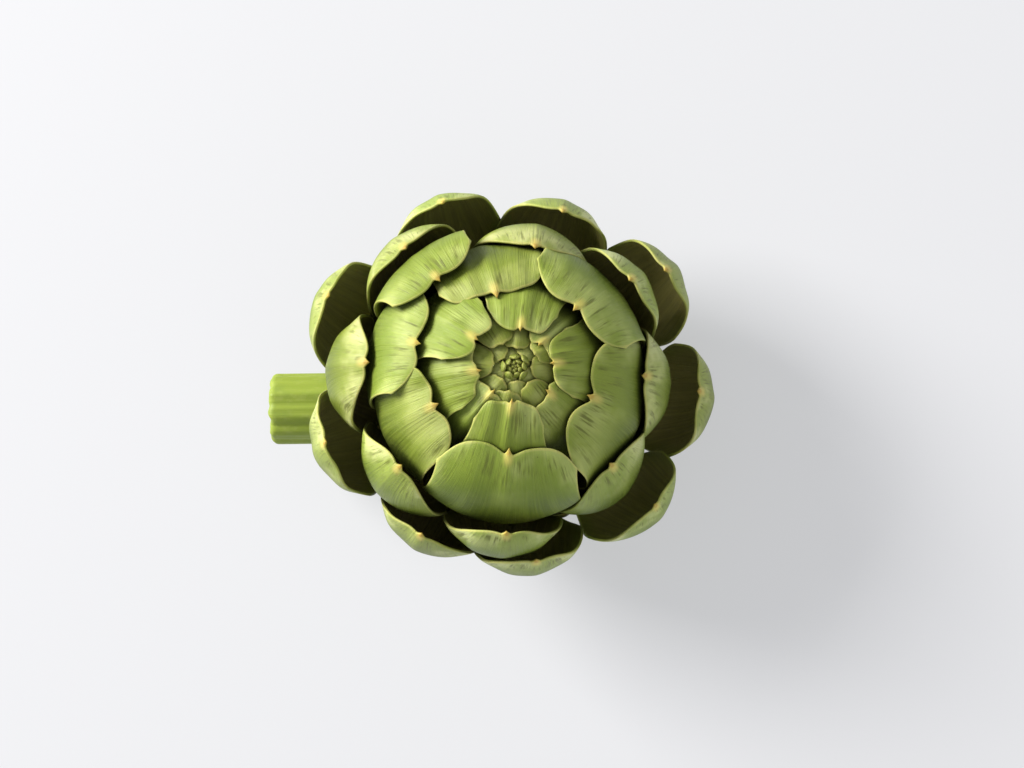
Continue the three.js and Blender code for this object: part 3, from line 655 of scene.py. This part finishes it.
class Nodes:
    """Short calls for building a material's node tree."""

    def __init__(self, name):
        self.material = bpy.data.materials.new(name)
        self.material.use_nodes = True
        self.tree = self.material.node_tree
        self.shader = self.tree.nodes["Principled BSDF"]

    def add(self, kind, inputs=None, **settings):
        node = self.tree.nodes.new(kind)
        for key, value in settings.items():
            setattr(node, key, value)
        for key, value in (inputs or {}).items():
            self.put(node.inputs[key], value)
        return node

    def put(self, socket, value):
        """Set a socket, to another node's output or to a plain value."""
        if isinstance(value, bpy.types.NodeSocket):
            self.tree.links.new(value, socket)
        else:
            socket.default_value = value

    def attribute(self, name, output="Fac"):
        return self.add("ShaderNodeAttribute", attribute_name=name).outputs[output]

    def math(self, operation, a, b=0.0):
        node = self.add("ShaderNodeMath", operation=operation)
        self.put(node.inputs[0], a)
        self.put(node.inputs[1], b)
        return node.outputs[0]

    def times(self, *factors):
        """The product of all the factors."""
        product = factors[0]
        for factor in factors[1:]:
            product = self.math("MULTIPLY", product, factor)
        return product

    def ramp(self, value, low, high, to_low=0.0, to_high=1.0):
        """A smooth step from to_low where the value is low to to_high where it is high."""
        node = self.add("ShaderNodeMapRange", interpolation_type="SMOOTHSTEP")
        names = ("Value", "From Min", "From Max", "To Min", "To Max")
        for key, item in zip(names, (value, low, high, to_low, to_high)):
            self.put(node.inputs[key], item)
        return node.outputs["Result"]

    def mix(self, factor, a, b):
        node = self.add("ShaderNodeMix", data_type="RGBA", blend_type="MIX")
        self.put(node.inputs["Factor"], factor)
        self.put(node.inputs["A"], a if isinstance(a, bpy.types.NodeSocket) else (*a, 1.0))
        self.put(node.inputs["B"], b if isinstance(b, bpy.types.NodeSocket) else (*b, 1.0))
        return node.outputs["Result"]

    def noise(self, vector, scale, detail=3.0, roughness=0.55):
        inputs = {"Vector": vector, "Scale": scale, "Detail": detail, "Roughness": roughness}
        return self.add("ShaderNodeTexNoise", inputs).outputs["Fac"]

    def finish(self, settings):
        for key, value in settings.items():
            self.put(self.shader.inputs[key], value)

    def bump(self, strength_and_distance, height):
        strength, distance = strength_and_distance
        inputs = {"Strength": strength, "Distance": distance, "Height": height}
        self.put(self.shader.inputs["Normal"], self.add("ShaderNodeBump", inputs).outputs[0])

    def vector(self, x, y, z):
        node = self.add("ShaderNodeCombineXYZ")
        for key, item in zip("XYZ", (x, y, z)):
            self.put(node.inputs[key], item)
        return node.outputs[0]


def bract_material():
    """Fresh bract: fine ribs that fan from the tip, a pale wax film that also paints light towards the rim,
    olive streaks under a thin pale rim, and painted shade towards the base and in crevices.
    """
    n = Nodes("bract")
    leaf = n.add("ShaderNodeSeparateXYZ", {"Vector": n.attribute("leaf", "Vector")})
    across, along_mm, to_tip = leaf.outputs
    along, margin, to_rim = n.attribute("along"), n.attribute("margin"), n.attribute("rim")
    inside, tone, spiny = n.attribute("inside"), n.attribute("tone"), n.attribute("spiny")
    shift = n.times(tone, TONE_SHIFT)
    fan = n.math("DIVIDE", across, n.math("ADD", to_tip, FAN_REACH))

    def streaks(density, stretch, detail):
        line = n.vector(n.times(fan, density), n.times(along_mm, stretch), shift)
        return n.noise(line, 1.0, detail, LINE_ROUGHNESS)

    def stretched(wide, high):
        return n.vector(n.times(across, wide), n.times(along_mm, high), shift)

    ribs = streaks(*RIB_LINES)
    fine = streaks(*FINE_LINES)
    brush = streaks(*BRUSH_LINES)
    patch = n.noise(stretched(*PATCH_STRETCH), 1.0)
    flat = n.vector(across, along_mm, shift)

    # The outer face: greens, bloom and painted light near the rim, streaks under it, painted shade where
    # bracts cover it
    green = n.mix(n.ramp(along, *LENGTH_BAND), DEEP_GREEN, LEAF_GREEN)
    green = n.mix(n.ramp(patch, *BRIGHT_RANGE), green, BRIGHT_GREEN)
    green = n.mix(n.ramp(ribs, *RIB_RANGE), green, DARK_RIB)
    green = n.mix(n.ramp(fine, *FINE_RANGE), green, PALE_LINE)
    bloom_and_light = n.times(n.ramp(patch, *BLOOM_AND_LIGHT_RANGE), n.ramp(to_rim, *BLOOM_AND_LIGHT_BAND), n.attribute("bloom_and_light_share"))
    green = n.mix(bloom_and_light, green, BLOOM_AND_LIGHT_COLOUR)
    near_rim = n.times(n.ramp(to_rim, *STREAK_BAND), n.ramp(margin, *STREAK_MARGIN))
    area = n.noise(flat, *AREA_NOISE)
    streak = n.times(near_rim, n.ramp(brush, *BRUSH_RANGE), n.ramp(area, *AREA_RANGE))
    green = n.mix(streak, green, OLIVE)
    # Painted shade where other bracts cover the face, streaked along the ribs
    painted_shade = n.mix(n.ramp(ribs, *SHADE_RIB_RANGE), SHADE_GREEN, SHADE_LIGHT)
    green = n.mix(n.ramp(to_rim, *SHADE_BAND), green, painted_shade)

    # The inner face
    back = n.mix(n.ramp(ribs, *BACK_RANGE), BACK_DARK, BACK_LIGHT)
    back = n.mix(n.ramp(margin, *BACK_RIM_BAND), back, BACK_RIM)
    colour = n.mix(inside, green, back)

    # The pale rim, the spine with its amber point, and specks
    rim = n.times(n.ramp(margin, *RIM_BAND), n.ramp(patch, *RIM_RANGE))
    colour = n.mix(rim, colour, RIM_CREAM)
    aside = n.math("ABSOLUTE", across)
    spine = n.times(n.ramp(aside, *SPINE_WIDTH), n.ramp(to_rim, *SPINE_BAND), spiny)
    colour = n.mix(spine, colour, SPINE_CREAM)
    point = n.times(n.ramp(aside, *POINT_WIDTH), n.ramp(to_rim, *POINT_BAND), spiny)
    colour = n.mix(point, colour, SPINE_AMBER)
    cells = n.add("ShaderNodeTexVoronoi", {"Vector": stretched(*SPECK_STRETCH), "Scale": 1.0})
    specks = n.times(n.ramp(cells.outputs["Distance"], *SPECK_SIZE), n.ramp(to_rim, *SPECK_BAND))
    specks = n.times(specks, n.ramp(n.noise(flat, *SPECK_NOISE), *SPECK_RANGE))
    colour = n.mix(specks, colour, SPECK)

    # Painted shade in the crevices between the outer faces, and each bract's own tint
    crevice_shade = n.add("ShaderNodeAmbientOcclusion", {"Distance": CREVICE_SHADE_REACH}, samples=CREVICE_SHADE_SAMPLES)
    painted_crevice_shade = n.ramp(crevice_shade.outputs["AO"], *CREVICE_SHADE_RANGE)
    painted_crevice_shade = n.times(painted_crevice_shade, n.math("SUBTRACT", 1.0, inside), n.attribute("crevice_shade"))
    colour = n.mix(painted_crevice_shade, colour, CREVICE_SHADE_COLOUR)
    hue, value = n.ramp(tone, *HUE_RANGE), n.ramp(tone, *VALUE_RANGE)
    tint = n.add("ShaderNodeHueSaturation", {"Color": colour, "Hue": hue, "Value": value})
    n.put(n.shader.inputs["Base Color"], tint.outputs[0])
    n.put(n.shader.inputs["Roughness"], n.ramp(fine, *LEAF_ROUGHNESS))
    n.finish(LEAF_FINISH)
    n.bump(LEAF_BUMP, n.math("ADD", n.times(ribs, RIB_BUMP), n.times(fine, FINE_BUMP)))
    return n.material


def stem_material():
    """Stalk, yellow-green and faintly ribbed, with a paler cut end."""
    n = Nodes("stalk")
    leaf = n.add("ShaderNodeSeparateXYZ", {"Vector": n.attribute("leaf", "Vector")})
    around, along_mm, radius = leaf.outputs
    turn = n.math("DIVIDE", around, STEM_RADIUS)
    ring_x = n.times(n.math("COSINE", turn), NOISE_RING)
    ring_y = n.times(n.math("SINE", turn), NOISE_RING)

    def ring_noise(stretch, scale, detail):
        return n.noise(n.vector(ring_x, ring_y, n.times(along_mm, stretch)), scale, detail, LINE_ROUGHNESS)

    ribs = ring_noise(*STALK_RIB_NOISE)
    colour = n.mix(n.ramp(ribs, *STALK_RIB_RANGE), STEM_DARK, STEM_LIGHT)
    colour = n.mix(n.ramp(ring_noise(*STALK_MOSS_NOISE), *STALK_MOSS_RANGE), colour, STEM_MOSS)
    colour = n.mix(n.ramp(ring_noise(*STALK_PALE_NOISE), *STALK_PALE_RANGE), colour, STEM_PALE)
    inward = n.math("SUBTRACT", STEM_RADIUS, radius)
    rings = n.noise(n.vector(ring_x, ring_y, radius), *CUT_NOISE, LINE_ROUGHNESS)
    face = n.mix(n.ramp(inward, *PITH_BAND), STEM_CUT, STEM_PITH)
    face = n.mix(n.ramp(rings, *CUT_RANGE), face, STEM_MOSS)
    n.put(n.shader.inputs["Base Color"], n.mix(n.ramp(inward, *CUT_BAND), colour, face))
    n.finish(STALK_FINISH)
    n.bump(STALK_BUMP, ribs)
    return n.material


bract_finish = bract_material()
stem_finish = stem_material()
for ring in RINGS:
    mean_belly = float(np.mean([row[1] for row in ring["rows"]]))
    mean_tip = float(np.mean([row[2] for row in ring["rows"]]))
    for number, row in enumerate(ring["rows"], 1):
        node = f"{ring['name']}_{number}"
        shape = bract_mesh(make_bract(ring, row, mean_belly, mean_tip), RING_GRID)
        add_piece(f"fine_{node}", shape, bract_finish, node)
add_piece("fine_bud", bud_mesh(), bract_finish, "bud")
stem_shape = merge_meshes([stem_mesh(), turned_mesh(RECEPTACLE_PROFILE, RECEPTACLE_SIDES)])
add_piece("fine_stem", stem_shape, stem_finish, "stem")

# The camera looks at the head as the photograph does, and turns with it.
tilt, tilt_azimuth = math.radians(CAMERA_TILT), math.radians(CAMERA_TILT_AZIMUTH)
sideways = -math.sin(tilt)
back = Vector((sideways * math.cos(tilt_azimuth), sideways * math.sin(tilt_azimuth), math.cos(tilt)))
up = Vector((0.0, 1.0, 0.0))
up = (up - back * up.dot(back)).normalized()
right = up.cross(back).normalized()
target = Vector((0.0, 0.0, HEAD_MIDDLE_HEIGHT))
target += right * ((IMAGE_WIDTH / 2 - HEAD_MIDDLE_PIXEL[0]) / PIXELS_PER_MM)
target -= up * ((IMAGE_HEIGHT / 2 - HEAD_MIDDLE_PIXEL[1]) / PIXELS_PER_MM)
camera_data = bpy.data.cameras.new("camera")
camera_data.sensor_width = SENSOR_WIDTH
camera_data.lens = SENSOR_WIDTH * PIXELS_PER_MM * CAMERA_DISTANCE / IMAGE_WIDTH
camera_data.clip_start = CLIP_START * MM
camera = bpy.data.objects.new("camera", camera_data)
bpy.context.scene.collection.objects.link(camera)
camera_place = Matrix((right, up, back)).transposed().to_4x4()
camera_place.translation = (target + back * CAMERA_DISTANCE) * MM
camera.matrix_world = pose @ camera_place
bpy.context.scene.camera = camera


def area_light(name, place, size, power, colour):
    """A square soft light, aimed at the head."""
    light = bpy.data.lights.new(name, "AREA")
    light.size = size
    light.energy = power
    light.color = colour
    lamp = bpy.data.objects.new(name, light)
    bpy.context.scene.collection.objects.link(lamp)
    lamp.location = place
    lamp.rotation_mode = "QUATERNION"
    lamp.rotation_quaternion = (Vector(LIGHT_AIM) - Vector(place)).to_track_quat("-Z", "Y")


for light in LIGHTS:
    area_light(**light)
world = bpy.data.worlds.new("studio")
bpy.context.scene.world = world
world.use_nodes = True
world.node_tree.nodes["Background"].inputs["Color"].default_value = SKY_COLOUR
world.node_tree.nodes["Background"].inputs["Strength"].default_value = SKY_STRENGTH

floor_mesh = bpy.data.meshes.new("floor")
corners = [(-1, -1), (1, -1), (1, 1), (-1, 1)]
floor_mesh.from_pydata([(x * FLOOR_HALF, y * FLOOR_HALF, 0) for x, y in corners], [], [(0, 1, 2, 3)])
floor_nodes = Nodes("floor")
floor_nodes.finish(FLOOR_FINISH)
floor_mesh.materials.append(floor_nodes.material)
floor = bpy.data.objects.new("floor", floor_mesh)
bpy.context.scene.collection.objects.link(floor)
floor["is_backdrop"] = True

bpy.context.scene.view_settings.view_transform = "Standard"

shown_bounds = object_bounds()
sizes = {"solids": solid_bounds, "shown": shown_bounds}
sizes = {name: [list(corner) for corner in bounds] for name, bounds in sizes.items()}
